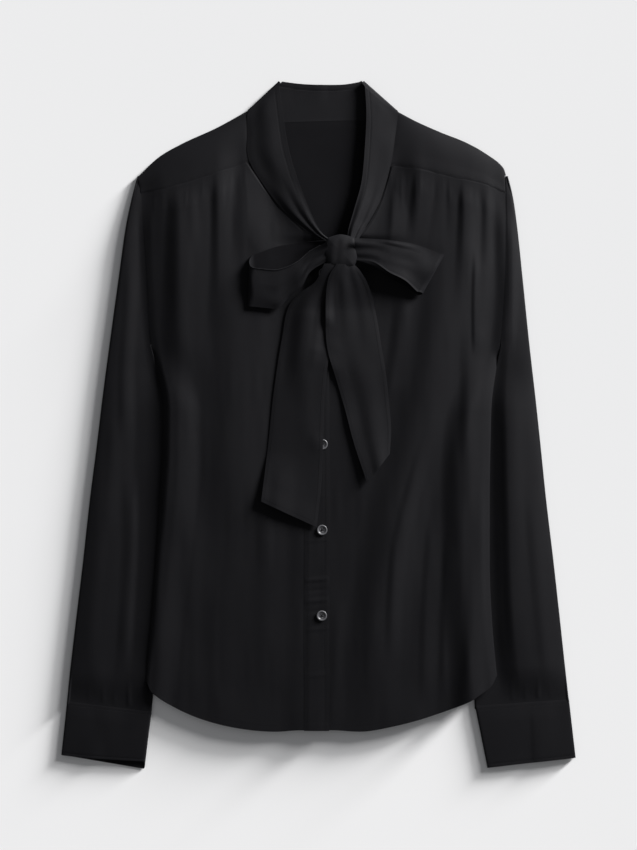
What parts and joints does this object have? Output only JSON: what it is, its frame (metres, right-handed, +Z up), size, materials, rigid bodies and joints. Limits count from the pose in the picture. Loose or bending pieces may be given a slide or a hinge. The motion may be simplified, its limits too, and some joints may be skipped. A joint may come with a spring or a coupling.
{
  "type": "tie neck blouse",
  "caption": "Black long-sleeved blouse laid flat, face up, with a band collar tied in a bow, gathered yoke seams and a buttoned front placket",
  "frame": {"origin": "middle of the laid-out garment's box in plan, on the surface that it lies on", "axes": "+Y runs along the body from hem to collar, +X to the right of someone looking down at the front, +Z up from the surface"},
  "size_m": [0.5402, 0.7219, 0.0252],
  "materials": {
    "crepe": "black crepe with a soft sheen",
    "button": "smoke grey resin with a pale rim"
  },
  "bodies": {
    "root": {"back": "crepe", "yoke": "crepe", "front_left": "crepe", "front_right": "crepe", "placket": "crepe", "collar": "crepe", "tie_knot": "crepe", "loop_left": "crepe", "loop_right": "crepe", "tail_left": "crepe", "tail_right": "crepe", "sleeve_left": "crepe", "sleeve_right": "crepe", "cuff_left": "crepe", "cuff_right": "crepe", "button_1": "button", "button_2": "button", "button_3": "button", "button_4": "button", "button_5": "button"}
  },
  "joints": []
}
